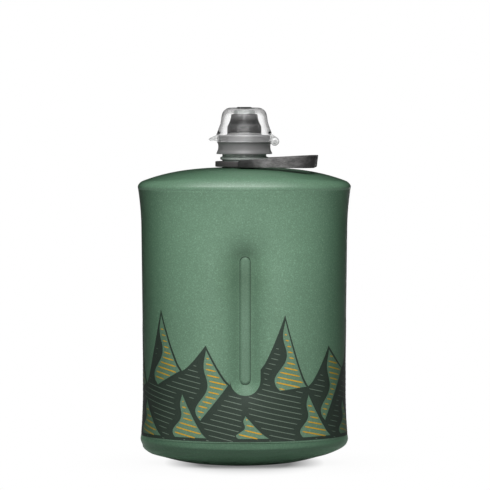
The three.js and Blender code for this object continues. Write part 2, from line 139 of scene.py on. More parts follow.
def settle_normals(mesh):
    """Joins points at the same place and turns every face outwards."""
    shell = bmesh.new()
    shell.from_mesh(mesh)
    bmesh.ops.remove_doubles(shell, verts=shell.verts, dist=1e-7)
    bmesh.ops.recalc_face_normals(shell, faces=shell.faces)
    shell.to_mesh(mesh)
    shell.free()


def shade(mesh, smooth_angle):
    """Shades a mesh smooth, apart from edges sharper than the angle."""
    mesh.polygons.foreach_set("use_smooth", [True] * len(mesh.polygons))
    if smooth_angle is not None:
        mesh.set_sharp_from_angle(angle=math.radians(smooth_angle))
    mesh.update()


def modified(piece, kind, **settings):
    """Adds a modifier to a piece."""
    modifier = piece.modifiers.new(kind.lower(), kind)
    for key, value in settings.items():
        setattr(modifier, key, value)


def apply_modifiers(piece):
    """Turns a piece's modifiers into its mesh."""
    shown = bpy.context.evaluated_depsgraph_get()
    baked = bpy.data.meshes.new_from_object(piece.evaluated_get(shown))
    piece.modifiers.clear()
    piece.data = baked


def ring_faces(rows, columns, closed_rows=False):
    """Quads of a grid whose columns go all the way round. With closed_rows the last row joins the first."""
    faces = []
    last = rows if closed_rows else rows - 1
    for i in range(last):
        for j in range(columns):
            a, b = i * columns, (i + 1) % rows * columns
            k = (j + 1) % columns
            faces.append((a + j, a + k, b + k, b + j))
    return faces


def place(piece, body, slot_name, *nodes):
    """Puts a finished piece on its body, in place of CAD nodes; its slot name is not used."""
    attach(piece, body)
    if nodes:
        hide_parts(*nodes)
    return piece


def flatten(piece):
    """Gives a soft piece a mesh of its own."""
    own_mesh(piece)
    return piece


def bend(before, corner, after, t):
    """A point, or a row of points, on a curve from before to after that is drawn towards the corner."""
    return (1 - t) ** 2 * before + 2 * t * (1 - t) * corner + t * t * after


CORNER_STEPS = 4


def rounded(corners):
    """A closed outline of (r, z, radius) corners with every corner turned into a small arc-like curve."""
    outline = []
    count = len(corners)
    for i, (r, z, radius) in enumerate(corners):
        here = np.array([r, z], float)
        before = np.array(corners[i - 1][:2], float) - here
        after = np.array(corners[(i + 1) % count][:2], float) - here
        if radius <= 0:
            outline.append(tuple(here))
            continue
        lead = min(radius, 0.45 * np.linalg.norm(before))
        trail = min(radius, 0.45 * np.linalg.norm(after))
        start = here + before / np.linalg.norm(before) * lead
        end = here + after / np.linalg.norm(after) * trail
        for t in np.linspace(0, 1, CORNER_STEPS + 1):
            outline.append(tuple(bend(start, here, end, t)))
    return outline


def lathe_points(outline, segments):
    """An outline of (r, z) places turned round Z, one row of points for each place."""
    turn = np.arange(segments) * TAU / segments
    rows = [np.column_stack([r * np.cos(turn), r * np.sin(turn), np.full(segments, z)]) for r, z in outline]
    return np.vstack(rows)


def lathe(name, corners, material, segments=128, smooth_angle=50):
    """A closed ring of revolution about Z from (r, z, radius) corners."""
    outline = rounded(corners)
    points = lathe_points(outline, segments)
    faces = ring_faces(len(outline), segments, closed_rows=True)
    return add_mesh(name, points, faces, material, smooth_angle)


def lathe_solid(name, corners, material, segments=128):
    """A solid of revolution whose outline starts and ends on the axis; corners leave out the axis points."""
    outline = rounded(corners)
    points = lathe_points(outline, segments)
    faces = ring_faces(len(outline), segments)
    low, high = len(points), len(points) + 1
    points = np.vstack([points, [[0, 0, outline[0][1]], [0, 0, outline[-1][1]]]])
    top = (len(outline) - 1) * segments
    for j in range(segments):
        k = (j + 1) % segments
        faces.append((j, low, k))
        faces.append((top + j, top + k, high))
    return add_mesh(name, points, faces, material, 50)


def extruded(name, outline, y_low, y_high, material, bevel=0.0):
    """An outline in X and Z given thickness along Y, with its edges rounded by a bevel."""
    count = len(outline)
    points = [(x, y, z) for y in (y_low, y_high) for x, z in outline]
    faces = [tuple(range(count)), tuple(range(2 * count - 1, count - 1, -1))]
    faces += [(i, count + i, count + (i + 1) % count, (i + 1) % count) for i in range(count)]
    piece = add_mesh(name, points, faces, material, 40)
    if bevel:
        sharp = math.radians(35)
        modified(piece, "BEVEL", width=bevel * MM, segments=3, limit_method="ANGLE", angle_limit=sharp)
    return piece


def arc(centre_x, centre_z, r, start_deg, end_deg, steps=16):
    """Places along an arc in the X-Z plane."""
    angles = np.radians(np.linspace(start_deg, end_deg, steps + 1))
    return [(centre_x + r * math.cos(a), centre_z + r * math.sin(a)) for a in angles]


def sweep(name, path, sections, material, closed=False, smooth_angle=40):
    """Joins cross sections along a path. Each section holds offsets from its place on the path."""
    rings = [np.array(section) + np.array(centre) for centre, section in zip(path, sections)]
    sides = len(rings[0])
    points = np.vstack(rings)
    faces = ring_faces(len(rings), sides, closed_rows=closed)
    if not closed:
        faces.append(tuple(range(sides)))
        faces.append(tuple(range(len(points) - 1, len(points) - 1 - sides, -1)))
    return add_mesh(name, points, faces, material, smooth_angle)


def tube(name, path, r, material, sides=8):
    """A thin round line along a closed path of points."""
    ahead = np.roll(path, -1, 0) - np.roll(path, 1, 0)
    sections = []
    for step in ahead:
        tangent = step / np.linalg.norm(step)
        side = np.cross(tangent, [0, 1, 0])
        side /= np.linalg.norm(side)
        up = np.cross(tangent, side)
        turn = np.arange(sides) * TAU / sides
        sections.append(r * (np.outer(np.cos(turn), side) + np.outer(np.sin(turn), up)))
    return sweep(name, path, sections, material, closed=True, smooth_angle=None)


def cut(piece, tool, operation="DIFFERENCE"):
    """Boolean of two pieces; the tool is used up."""
    modified(piece, "BOOLEAN", object=tool, operation=operation, solver="EXACT")
    apply_modifiers(piece)
    bpy.data.objects.remove(tool)


# ---- materials ----
def grey(level):
    """The same level in all three colours."""
    return (level, level, level)


def shaded(colour, shares):
    """Ramp stops of one colour from (place, brightness) pairs."""
    return [(where, tuple(c * share for c in colour[:3])) for where, share in shares]


def srgb(r, g, b):
    """A colour from 0 to 255 screen values, as linear light."""
    def channel(v):
        """One channel's linear value."""
        v /= 255
        return v / 12.92 if v <= 0.04045 else ((v + 0.055) / 1.055) ** 2.4
    return (channel(r), channel(g), channel(b), 1.0)


class Tree:
    """Short calls for building the node tree of a material or a world."""

    def __init__(self, owner):
        owner.use_nodes = True
        self.tree = owner.node_tree

    def add(self, kind, **settings):
        """A new node."""
        node = self.tree.nodes.new(kind)
        for key, value in settings.items():
            setattr(node, key, value)
        return node

    def link(self, source, target):
        """Joins an output to an input."""
        self.tree.links.new(source, target)

    def fill(self, target, value):
        """Gives an input a value or links it to an output."""
        if isinstance(value, bpy.types.NodeSocket):
            self.link(value, target)
        else:
            target.default_value = value

    def span(self, value, low, high):
        """A 0 to 1 value stretched to low to high."""
        node = self.add("ShaderNodeMapRange")
        node.inputs["To Min"].default_value = low
        node.inputs["To Max"].default_value = high
        self.link(value, node.inputs["Value"])
        return node.outputs["Result"]


class Nodes(Tree):
    """The node tree of a piece's material."""

    def __init__(self, name):
        self.material = bpy.data.materials.new(name)
        super().__init__(self.material)
        self.shader = self.tree.nodes["Principled BSDF"]
        self.coords = self.add("ShaderNodeTexCoord").outputs["Object"]

    def scaled(self, scale, location=(0, 0, 0)):
        """The object's coordinates, scaled along each axis and moved."""
        mapping = self.add("ShaderNodeMapping")
        mapping.inputs["Scale"].default_value = scale
        mapping.inputs["Location"].default_value = location
        self.link(self.coords, mapping.inputs["Vector"])
        return mapping.outputs["Vector"]

    def noise(self, scale, detail=2.0, roughness=0.5, stretch=None):
        """Soft noise from 0 to 1, drawn out along an axis by a stretch below 1."""
        node = self.add("ShaderNodeTexNoise")
        node.inputs["Scale"].default_value = scale
        node.inputs["Detail"].default_value = detail
        node.inputs["Roughness"].default_value = roughness
        self.link(self.scaled(stretch) if stretch else self.coords, node.inputs["Vector"])
        return node.outputs["Fac"]

    def ramp(self, value, *stops):
        """A colour ramp from (place, colour) stops."""
        node = self.add("ShaderNodeValToRGB")
        elements = node.color_ramp.elements
        while len(elements) < len(stops):
            elements.new(0.5)
        for element, (where, colour) in zip(elements, stops):
            element.position = where
            element.color = colour if len(colour) == 4 else (*colour, 1.0)
        self.link(value, node.inputs["Fac"])
        return node.outputs["Color"]

    def times(self, first, second, factor=1.0):
        """Two colours multiplied."""
        node = self.add("ShaderNodeMix", data_type="RGBA", blend_type="MULTIPLY")
        sockets = {socket.name: socket for socket in node.inputs if socket.enabled}
        for label, value in (("Factor", factor), ("A", first), ("B", second)):
            self.fill(sockets[label], value)
        return next(socket for socket in node.outputs if socket.enabled)

    def spot(self, centre_mm, reach_mm):
        """1 at a place, falling to 0 at its reach along each axis; a reach of 0 takes all of that axis."""
        scale = [1 / (reach * MM) if reach else 0 for reach in reach_mm]
        ball = self.add("ShaderNodeTexGradient", gradient_type="SPHERICAL")
        self.link(self.scaled(scale, [-c * MM * k for c, k in zip(centre_mm, scale)]), ball.inputs["Vector"])
        return ball.outputs["Fac"]

    def along(self, axis, low_mm, high_mm, mirrored=False):
        """0 to 1 between two places on an axis. With mirrored, both sides of the origin count alike."""
        split = self.add("ShaderNodeSeparateXYZ")
        self.link(self.coords, split.inputs[0])
        where = split.outputs[axis]
        if mirrored:
            outward = self.add("ShaderNodeMath", operation="ABSOLUTE")
            self.link(where, outward.inputs[0])
            where = outward.outputs[0]
        node = self.add("ShaderNodeMapRange")
        node.inputs["From Min"].default_value = low_mm * MM
        node.inputs["From Max"].default_value = high_mm * MM
        self.link(where, node.inputs["Value"])
        return node.outputs["Result"]

    def facing(self):
        """0 where the surface faces the viewer, and 1 where it is seen edge on."""
        node = self.add("ShaderNodeLayerWeight")
        node.inputs["Blend"].default_value = 0.5
        return node.outputs["Facing"]

    def uneven(self, scale, level, less=0.05, more=0.07):
        """A level that wanders a little over the surface."""
        return self.span(self.noise(scale, 2), level - less, level + more)

    def bump(self, height, distance_mm, strength):
        """Fine relief."""
        node = self.add("ShaderNodeBump")
        node.inputs["Distance"].default_value = distance_mm * MM
        node.inputs["Strength"].default_value = strength
        self.link(height, node.inputs["Height"])
        self.link(node.outputs["Normal"], self.shader.inputs["Normal"])

    def set(self, **values):
        """Sets or links the shader's inputs, and returns the finished material."""
        for key, value in values.items():
            self.fill(self.shader.inputs[key.replace("_", " ")], value)
        return self.material


# (how far the surface is turned away, how bright it is) for the films and the printed inks
WALL_FALL_OFF = ((0.0, 1.0), (0.12, 0.84), (0.3, 0.58), (0.5, 0.41), (0.72, 0.26), (1.0, 0.13))
# The shoulder's ramp paints light and shade: brighter than the wall's on the bevel, darker on the dome's top.
SHOULDER_PAINTED_FALL_OFF = ((0.0, 0.88), (0.12, 0.81), (0.3, 0.72), (0.5, 0.66), (0.72, 0.47), (1.0, 0.15))
# The base's ramp paints shade on its band and painted floor light on its underside, brightest where it is
# seen edge on.
BASE_PAINTED_FALL_OFF = ((0.0, 0.66), (0.12, 0.58), (0.3, 0.48), (0.5, 0.5), (0.72, 0.7), (1.0, 1.2))
# The spout's ramp stays light where it turns away: painted light where the cap's collar shades the spout.
SPOUT_PAINTED_FALL_OFF = ((0.0, 1.0), (0.5, 0.8), (1.0, 0.6))
DEEPENING = (1.25, 1, 1.15)  # red and blue fade faster than green, so that the film deepens


def turned_away(m, colour, shares):
    """A colour that darkens and deepens as the surface turns away."""
    stops = []
    for facing, share in shares:
        stops.append((facing, tuple(c * share**power for c, power in zip(colour, DEEPENING))))
    return m.ramp(m.facing(), *stops)


def film(name, colour, sparkle=1.45, roughness=0.42, shares=WALL_FALL_OFF, specular=0.35):
    """Frosted film: a fine sparkle of grain, darker where it is seen edge on, slightly uneven in tone, and
    with painted shade round the inner web.
    """
    m = Nodes(name)
    body = turned_away(m, colour, shares)
    cloud = m.ramp(m.noise(28, 3), (0.3, grey(0.95)), (0.7, grey(1.05)))
    grain = m.noise(1500, 2.0, 0.7)
    fleck = m.ramp(grain, (0.36, (0.86, 0.88, 0.86)), (0.54, grey(1)), (0.72, grey(sparkle)))
    m.bump(grain, 0.05, 0.55)
    return m.set(Base_Color=m.times(m.times(body, cloud), painted_dimple_shade(m, fleck)),
                 Roughness=m.uneven(160, roughness), Specular_IOR_Level=specular)


def painted_dimple_shade(m, tone):
    """Painted shade in the dimple and valley where the inner web pulls the film in, most of all round the
    web's upper end.
    """
    web_end = m.spot((-2, 0, 110), (19, 0, 21))
    upper = m.ramp(web_end, (0, grey(1)), (0.4, (0.9, 0.91, 0.89)), (1, (0.7, 0.72, 0.69)))
    beside = m.ramp(m.spot((0, 0, 84), (12, 0, 58)), (0, grey(1)), (0.6, (0.9, 0.91, 0.9)))
    return m.times(m.times(tone, upper), beside)


def moulded(name, colour, roughness, grain_scale=700, depth=0.02, worn=1.12):
    """Moulded plastic or rubber: fine grain, soft tone changes and slightly paler high spots."""
    m = Nodes(name)
    tone = m.ramp(m.noise(60, 4, 0.6), *shaded(srgb(*colour), ((0.3, 0.9), (0.7, worn))))
    m.bump(m.noise(grain_scale, 3, 0.6), depth, 0.6)
    return m.set(Base_Color=tone, Roughness=m.uneven(220, roughness, 0.07))


def ink(name, colour, roughness=0.5):
    """Screen-printed ink on the film; it darkens with the film where it turns away."""
    m = Nodes(name)
    body = turned_away(m, srgb(*colour), WALL_FALL_OFF)
    grain = m.noise(1500, 2.0, 0.65)
    flecks = m.ramp(grain, (0.3, grey(0.86)), (0.7, grey(1.14)))
    m.bump(grain, 0.04, 0.5)
    return m.set(Base_Color=m.times(body, flecks), Roughness=roughness, Specular_IOR_Level=0.35)


def clear(name, roughness):
    """Clear moulded plastic with faint flow marks, greyer at its edges, its thick tab and its knuckles."""
    m = Nodes(name)
    edges = ((0, 1), (0.5, 0.98), (0.64, 0.8), (0.8, 0.7), (1, 0.7))
    tint = m.ramp(m.facing(), *shaded(grey(1), edges))
    thick = m.along("X", COVER_RIM_R - 1.2, COVER_RIM_R, mirrored=True)
    knuckle = m.spot((PIN_X, 0, PIN_Z), (KNUCKLE_R + 0.05, 0, KNUCKLE_R + 0.05))
    rim = grey(0.45)
    tone = m.ramp(knuckle, (0, grey(0.66)), (0.04, rim), (0.16, rim), (0.28, grey(0.95)))
    m.bump(m.noise(90, 2, 0.5, stretch=(1, 1, 0.25)), 0.05, 0.3)
    return m.set(Base_Color=m.times(tint, tone, thick), Roughness=m.uneven(400, roughness, 0, 0.05), IOR=1.45,
                 Transmission_Weight=m.span(thick, 1, 0.4), Specular_Tint=(*grey(0.2), 1))


def strap(name, colour, roughness):
    """Grained rubbery plastic with drawn streaks, darkest round its pivots and palest a little way along:
    painted shade at the pivots, a painted highlight along the strap.
    """
    m = Nodes(name)
    # Brightness along the strap: painted shade round the pivots, a painted highlight a little way along.
    shares = ((0, 0.4), (0.13, 0.42), (0.22, 1.6), (0.36, 3.6), (0.58, 3.6),
              (0.8, 1.25), (0.93, 0.65), (1, 0.45))
    tone = m.ramp(m.along("X", -5, 43), *shaded(srgb(*colour), shares))
    drawn = m.noise(420, 4, 0.75, stretch=(0.35, 1, 1))
    streak = m.ramp(drawn, (0.36, grey(0.5)), (0.64, grey(1.6)))
    m.bump(m.noise(520, 3, 0.6), 0.08, 0.6)
    return m.set(Base_Color=m.times(tone, streak), Roughness=roughness)


def soft_nozzle(name, colour, roughness):
    """Soft moulded rubber with painted highlights round its lip and its foot and painted shade in its waist;
    glossier round its lip, and duller in its waist.
    """
    m = Nodes(name)
    up = m.along("Z", SLEEVE_LOW.z, SLEEVE_HIGH.z)
    # Brightness up the nozzle: painted highlights on the foot and the lip, painted shade in the waist.
    shares = ((0, 0.85), (0.14, 1.3), (0.26, 1.1), (0.42, 0.66), (0.62, 0.66),
              (0.86, 1.75), (0.96, 1.75), (1, 1.2))
    gloss = ((0, 0.5), (0.26, 0.5), (0.44, 0.14), (0.62, 0.14), (0.86, 0.8), (1, 0.8))
    cloud = m.ramp(m.noise(60, 4, 0.6), (0.3, grey(0.9)), (0.7, grey(1.12)))
    m.bump(m.noise(500, 3, 0.6), 0.03, 0.6)
    tone = m.times(m.ramp(up, *shaded(srgb(*colour), shares)), cloud)
    shine = m.ramp(up, *shaded(grey(1), gloss))
    return m.set(Base_Color=tone, Roughness=m.uneven(220, roughness, 0.07), Specular_IOR_Level=shine)


def metal(name, colour):
    """Bright metal with fine brushing."""
    m = Nodes(name)
    brushed = m.noise(900, 3, 0.6, stretch=(1, 0.1, 1))
    m.bump(brushed, 0.01, 0.5)
    rough = m.span(brushed, 0.18, 0.34)
    return m.set(Base_Color=srgb(*colour), Metallic=0.3, Roughness=rough)


FILM = film("frosted_film", srgb(124, 160, 134))
# A lit and shaded copy of the wall's film: painted highlight on the bevel, painted shade on the dome.
SHOULDER_FILM_PAINTED_LIGHT = film("shoulder_film", srgb(126, 162, 136), 1.35, 0.37, SHOULDER_PAINTED_FALL_OFF, 0.6)
# A lit and shaded copy of the wall's film: painted shade on the band, painted floor light on the underside.
BASE_FILM_PAINTED_LIGHT = film("base_film", srgb(124, 160, 134), 1.3, 0.42, BASE_PAINTED_FALL_OFF)
WELD = film("welded_film", srgb(126, 160, 136), 1.3, 0.4)
GROOVE = moulded("weld_groove", (56, 80, 62), 0.6)
# Near-white film, paler than the spout's own green: painted light where the cap's collar shades it.
SPOUT_PAINTED_LIGHT = film("spout_green", srgb(228, 238, 231), 1.05, 0.16, SPOUT_PAINTED_FALL_OFF, 0.9)
CAP = moulded("cap_grey", (125, 125, 125), 0.42)
SLEEVE = soft_nozzle("nozzle_grey", (59, 59, 59), 0.42)
HANDLE = moulded("handle_grey", (77, 74, 75), 0.48, 520, 0.1, 1.3)
STRAP = strap("strap_grey", (65, 64, 64), 0.5)
CLEAR = clear("clear_plastic", 0.03)
SILICONE = moulded("silicone", (164, 167, 166), 0.45)
RUBBER = moulded("black_rubber", (36, 36, 36), 0.7)
STEEL = metal("steel", (235, 235, 235))
INK = ink("charcoal_ink", (57, 71, 61))
LIT_FACE = film("lit_face_film", srgb(120, 156, 130), 1.3, 0.45)
GOLD = ink("gold_ink", (238, 186, 52), 0.42)
KNOCK_OUT = ink("pale_hatch_ink", (128, 146, 130), 0.5)


# ---- soft body outlines ----
def wall_half_width(z):
    """The sides lean out slowly above the waist, flare to the rim, and widen again towards the base."""
    lean = np.clip((z - SEAM_LOW_Z - 45) / 75, 0, 1)
    flare = np.clip((z - SEAM_HIGH_Z + 25) / 25, 0, 1)
    foot = np.clip((SEAM_LOW_Z + 30 - z) / 30, 0, 1)
    return WAIST_HALF_WIDTH + WALL_LEAN * lean + WALL_FLARE * flare**2 + WALL_FOOT * foot**2


def wall_half_depth(z):
    """The front and back belly out half-way up, and lean out to the rim near the top."""
    along = (z - SEAM_LOW_Z) / (SEAM_HIGH_Z - SEAM_LOW_Z)
    lean = 1 - np.clip((z - SEAM_HIGH_Z + 22) / 22, 0, 1) ** 2
    return RIM_HALF_DEPTH - 0.5 * (1 - along) + BELLY * np.sin(math.pi * along) - RIM_LEAN * lean * along**0.5


def oval(angle, half_width, half_depth, power=OVAL_POWER):
    """Places on an oval; a power of 2 gives an ellipse, and a higher one fuller corners."""
    c, s = np.cos(angle), np.sin(angle)
    x = np.sign(c) * half_width * np.abs(c) ** (2 / power)
    y = np.sign(s) * half_depth * np.abs(s) ** (2 / power)
    return x, y


def pinch(x, z):
    """1 on the weld strips and falling to 0 away from them."""
    nearest = np.clip(z, STRIP_LOW.z + STRIP_R, STRIP_HIGH.z - STRIP_R + 0.6)
    away = np.maximum(np.hypot(x, z - nearest) - STRIP_R - 0.4, 0)
    return np.maximum(1 - away / PINCH_REACH, 0) ** 3


ANGLES = -math.pi / 2 + np.arange(AROUND) * TAU / AROUND  # column 0 is the middle of the front
WALL_Z = np.linspace(SEAM_LOW_Z, SEAM_HIGH_Z, WALL_ROWS)


def shaped_wall():
    """The filled wall as rows of points, bottom to top."""
    z, angle = np.meshgrid(WALL_Z, ANGLES, indexing="ij")
    x, y = oval(angle, wall_half_width(z), wall_half_depth(z))
    hold = pinch(x, z)
    y = y * (1 - hold) + np.sign(y) * HELD_HALF_DEPTH * hold
    return np.stack([x, y, z], -1)


WALL = shaped_wall()


def side_wall():
    """The tube of film, with its ends tucked in behind the two seams."""
    tuck, overlap = np.array([0.985, 0.985, 1]), np.array([0, 0, 0.9])
    top, bottom = WALL[-1] * tuck + overlap, WALL[0] * tuck - overlap
    rows = np.concatenate([bottom[None], WALL, top[None]])
    piece = add_mesh("side_wall_film", rows.reshape(-1, 3), ring_faces(len(rows), AROUND), FILM, 50)
    modified(piece, "SOLIDIFY", thickness=FILM_THICK * MM, offset=-1)
    place(piece, "bottle", "soft_film", "side_wall")
    return flatten(piece)


def ring_row(half_width, half_depth, z, power=OVAL_POWER):
    """One row of points round the body; the height may differ along the row."""
    x, y = oval(ANGLES, half_width, half_depth, power)
    return np.column_stack([x, y, np.broadcast_to(z, x.shape)])


def shoulder():
    """A flat dome with a crease, a bevel down to the rim, and a lip that laps over the wall."""
    front = np.sin(ANGLES) ** 2
    neck_r = SPOUT_R + 0.05
    lift = (DOME_DROP_SIDE - DOME_DROP_FRONT) * front

    def dome_row(share):
        """From the spout (0) out to the crease (1)."""
        r = neck_r + (CREASE_HALF_WIDTH - neck_r) * share
        depth = neck_r + (CREASE_HALF_DEPTH - neck_r) * share
        fall = (r / CREASE_HALF_WIDTH) ** DOME_POWER
        z = DOME_TOP_Z - (DOME_DROP_SIDE - lift) * fall
        return ring_row(r, depth, z, 2 + (OVAL_POWER - 2) * share)

    def bevel_row(share):
        """From the crease (0) down to the rim (1)."""
        crease = dome_row(1)
        rim = ring_row(RIM_HALF_WIDTH - 0.1, RIM_HALF_DEPTH - 0.1, RIM_Z + 1)
        swell = 0.35 * math.sin(math.pi * share) * np.array([0, 0, 1])
        return crease * (1 - share) + rim * share + swell

    rim_low = ring_row(RIM_HALF_WIDTH, RIM_HALF_DEPTH, RIM_Z)
    lips = []
    for below, proud in ((0.5, 0.08), (1.2, 0.02), (1.9, -0.08), (2.6, -0.25)):
        z = RIM_Z - below
        lips.append(ring_row(wall_half_width(z) + proud, wall_half_depth(z) + proud, z))
    dome_end, bevel_end = 0.965, 0.86
    turn = np.linspace(0.2, 1, 5)
    rows = [dome_row(t) for t in np.linspace(0, dome_end, 40)]
    rows += [bend(dome_row(dome_end), dome_row(1), bevel_row(0.12), t) for t in turn]
    rows += [bevel_row(t) for t in np.linspace(0.2, bevel_end, 9)]
    rows += [bend(bevel_row(bevel_end), bevel_row(1), rim_low, t) for t in turn]
    rows += [0.5 * (rim_low + lips[0])] + lips
    piece = add_mesh("shoulder_film", np.vstack(rows), ring_faces(len(rows), AROUND), SHOULDER_FILM_PAINTED_LIGHT, 60)
    modified(piece, "SOLIDIFY", thickness=FILM_THICK * MM, offset=-1)
    place(piece, "bottle", "soft_film", "shoulder")
    return flatten(piece)


def seam_rise(turn):
    """The rise of the base seam at a cosine of the angle round the bottle: it sweeps up at the sides."""
    return 1.2 * np.abs(turn) ** 1.6


# (inset from the widest ring, height): from the seam, down a straight band to a crease, then along
# the underside
BASE_FRONT = [
    (0.75, 16.8), (0.5, 16.2), (0.3, 15.6), (0.15, 14.6), (0.1, 12.8), (0.15, 11.5), (0.3, 10.9), (1.0, 10.2),
    (2.2, 9.4), (4, 8.1), (8, 5.8), (14.7, 3), (24.3, 0.4), (32.5, 0), (37.5, 0),
]
BASE_SIDE = [
    (0.75, 17.6), (0.55, 17.1), (0.35, 16.6), (0.15, 15.6), (0, 14.4), (0.05, 13.8), (0.2, 13.1), (0.5, 12.2),
    (1.2, 10.8), (2.3, 9.3), (7, 6.4), (14.7, 4.1), (24.3, 1.8), (32.5, 0.5), (37.5, 0),
]


def base_pan():
    """A welded band, a crease, and a convex underside that has settled a little to one side."""
    front, side = np.array(BASE_FRONT), np.array(BASE_SIDE)
    at = np.concatenate([[0], np.cumsum(np.hypot(*np.diff(front, axis=0).T))])
    fine = np.linspace(0, at[-1], 110)
    share = np.abs(np.cos(ANGLES)) ** 1.6
    rows = []
    for k in range(len(fine)):
        where = fine[k:k + 1]
        inset, z = (
            smooth_curve(at, front[:, i], where) * (1 - share) + smooth_curve(at, side[:, i], where) * share
            for i in (0, 1)
        )
        depth = BASE_HALF_DEPTH - inset * BASE_HALF_DEPTH / BASE_HALF_WIDTH - 0.3 * np.minimum(inset, 2)
        row = ring_row(BASE_HALF_WIDTH - inset, depth, np.maximum(z, 0))
        row[:, 0] -= BASE_SETTLE * np.clip((11 - z) / 5, 0, 1)
        rows.append(row)
    middle = rows[-1].mean(0)
    rows += [middle + (rows[-1] - middle) * part for part in (0.75, 0.5, 0.25, 0.02)]
    faces = ring_faces(len(rows), AROUND)
    faces.append(tuple(range((len(rows) - 1) * AROUND, len(rows) * AROUND)))
    piece = add_mesh("base_film", np.vstack(rows), faces, BASE_FILM_PAINTED_LIGHT, 60)
    modified(piece, "SOLIDIFY", thickness=FILM_THICK * MM, offset=-1)
    place(piece, "bottle", "soft_film", "base_pan")
    return flatten(piece)


def smooth_curve(at, values, where):
    """A smooth curve through values given at places, read off at other places (Catmull-Rom)."""
    slopes = np.gradient(values, at)
    index = np.clip(np.searchsorted(at, where, side="right") - 1, 0, len(at) - 2)
    span = at[index + 1] - at[index]
    t = (where - at[index]) / span
    return (
        (2 * t**3 - 3 * t**2 + 1) * values[index]
        + (t**3 - 2 * t**2 + t) * span * slopes[index]
        + (3 * t**2 - 2 * t**3) * values[index + 1]
        + (t**3 - t**2) * span * slopes[index + 1]
    )


# ---- weld strips ----
def capsule(r, low, high, y):
    """The outline of an upright rounded strip."""
    top = [(r * math.cos(a), y, high + r * math.sin(a)) for a in np.linspace(0, math.pi, 17)]
    left = [(-r, y, z) for z in np.linspace(high, low, 25)[1:-1]]
    bottom = [(r * math.cos(a), y, low + r * math.sin(a)) for a in np.linspace(math.pi, TAU, 17)]
    right = [(r, y, z) for z in np.linspace(low, high, 25)[1:-1]]
    return np.array(top + left + bottom + right)


def weld_strip(side, label):
    """A low rounded welt, with the crease round it that the weld leaves in the film."""
    low, high = STRIP_LOW.z + STRIP_R, STRIP_HIGH.z - STRIP_R + 0.6
    wall_y, proud = HELD_HALF_DEPTH - 0.25, 0.7
    rings = []
    for k in range(9):
        turn = k / 8 * math.pi / 2
        r = STRIP_R - 0.1 - (1 - math.cos(turn)) * 1.5
        rings.append(capsule(r, low, high, side * (wall_y + proud * math.sin(turn))))
    points = np.vstack(rings)
    count = len(rings[0])
    faces = ring_faces(len(rings), count)
    faces.append(tuple(range((len(rings) - 1) * count, len(rings) * count)))
    faces.append(tuple(range(count - 1, -1, -1)))
    strip = add_mesh(label + "_weld_welt", points, faces, WELD, 60)
    body = label + "_panel"
    place(strip, body, "soft_film", label + "_weld_strip")
    line = capsule(STRIP_R + 0.14, low, high, side * (HELD_HALF_DEPTH - 0.03))
    crease = tube(label + "_weld_crease", line, 0.3, GROOVE)
    place(crease, body, "soft_film")


# ---- printed mountain range ----
PRINT_LOW_Z = SEAM_LOW_Z + 0.3
MARGIN = 9.3  # half the width of the clear band that is kept round each weld strip
ARC_ROW = int(WALL_ROWS * 0.35)
HATCH_SLOPE = math.radians(-13)
HATCH_STEP = 3.1
PEAKS = 5  # whole peaks between the clear band at the front and the one at the back
SLOPE_POWER = 1.3  # how much a slope steepens towards its top
FEET = (52, 5)  # middle height, and how far it rises and falls from one to the next
TOPS = (82, 12)
HILLS = (42, 4)
FRONT_HILL_Z = 31  # the foothill under each weld strip stays below the clear band
LIT_DROP = 44  # from a top down to the tip of its lit side


def slope(foot, top):
    """A run up a slope that steepens towards its top."""
    return [
        (foot[0] + (top[0] - foot[0]) * t, foot[1] + (top[1] - foot[1]) * t**SLOPE_POWER)
        for t in np.linspace(0, 1, 7)
    ]


def band_end(middle, side):
    """The rounded lower end of the clear band round a weld strip, as a run from its bottom to one side."""
    centre_z = STRIP_LOW.z + STRIP_R
    return [
        (middle + side * MARGIN * math.sin(a), centre_z - MARGIN * math.cos(a))
        for a in np.linspace(0, math.pi / 2, 7)
    ]


def lit_side(foot, top, tip, sway):
    """The sunlit side of a peak: down its slope, across to its tip, and back up along a wavy ridge."""
    ridge = []
    for t in np.linspace(0, 1, 13):
        wave = sway * (1 - t) * math.sin(1.5 * TAU * t)
        ridge.append((tip[0] + (top[0] - tip[0]) * t - wave, tip[1] + (top[1] - tip[1]) * t))
    return [slope(foot, top)[::-1], [foot, tip], ridge]


def plain_range(half_round):
    """Runs of the skyline and of the lit sides: even peaks of changing height, with foothills between."""
    pitch = (half_round - 2 * MARGIN) / PEAKS
    feet = [(MARGIN + pitch * k, FEET[0] + FEET[1] * math.cos(3 * k)) for k in range(PEAKS + 1)]
    tops = [(MARGIN + pitch * (k + 0.5), TOPS[0] + TOPS[1] * math.cos(2 * k + 1)) for k in range(PEAKS)]
    front_end, back_end = band_end(0, 1), band_end(half_round, -1)[::-1]
    skyline = [[(0, PRINT_LOW_Z), front_end[0]], front_end, [front_end[-1], feet[0]]]
    lit = []
    for k, top in enumerate(tops):
        skyline += [slope(feet[k], top), slope(feet[k + 1], top)[::-1]]
        foot = (feet[k + 1][0] - 0.9, feet[k + 1][1] - 0.3)
        lit.append(lit_side(foot, (top[0], top[1] - 1.5), (top[0] - 3, top[1] - LIT_DROP), 4.5))
    for k in range(PEAKS):
        hill = (feet[k][0], HILLS[0] + HILLS[1] * math.cos(5 * k)) if k else (0, FRONT_HILL_Z)
        foot = (hill[0] + 0.55 * pitch, PRINT_LOW_Z + 1.6)
        lit.append(lit_side(foot, hill, (hill[0] - 4, PRINT_LOW_Z + 1.6), 3))
    corners = [(half_round, PRINT_LOW_Z), (0, PRINT_LOW_Z)]
    skyline += [[feet[-1], back_end[0]], back_end, [back_end[-1], corners[0]], corners]
    return skyline, lit


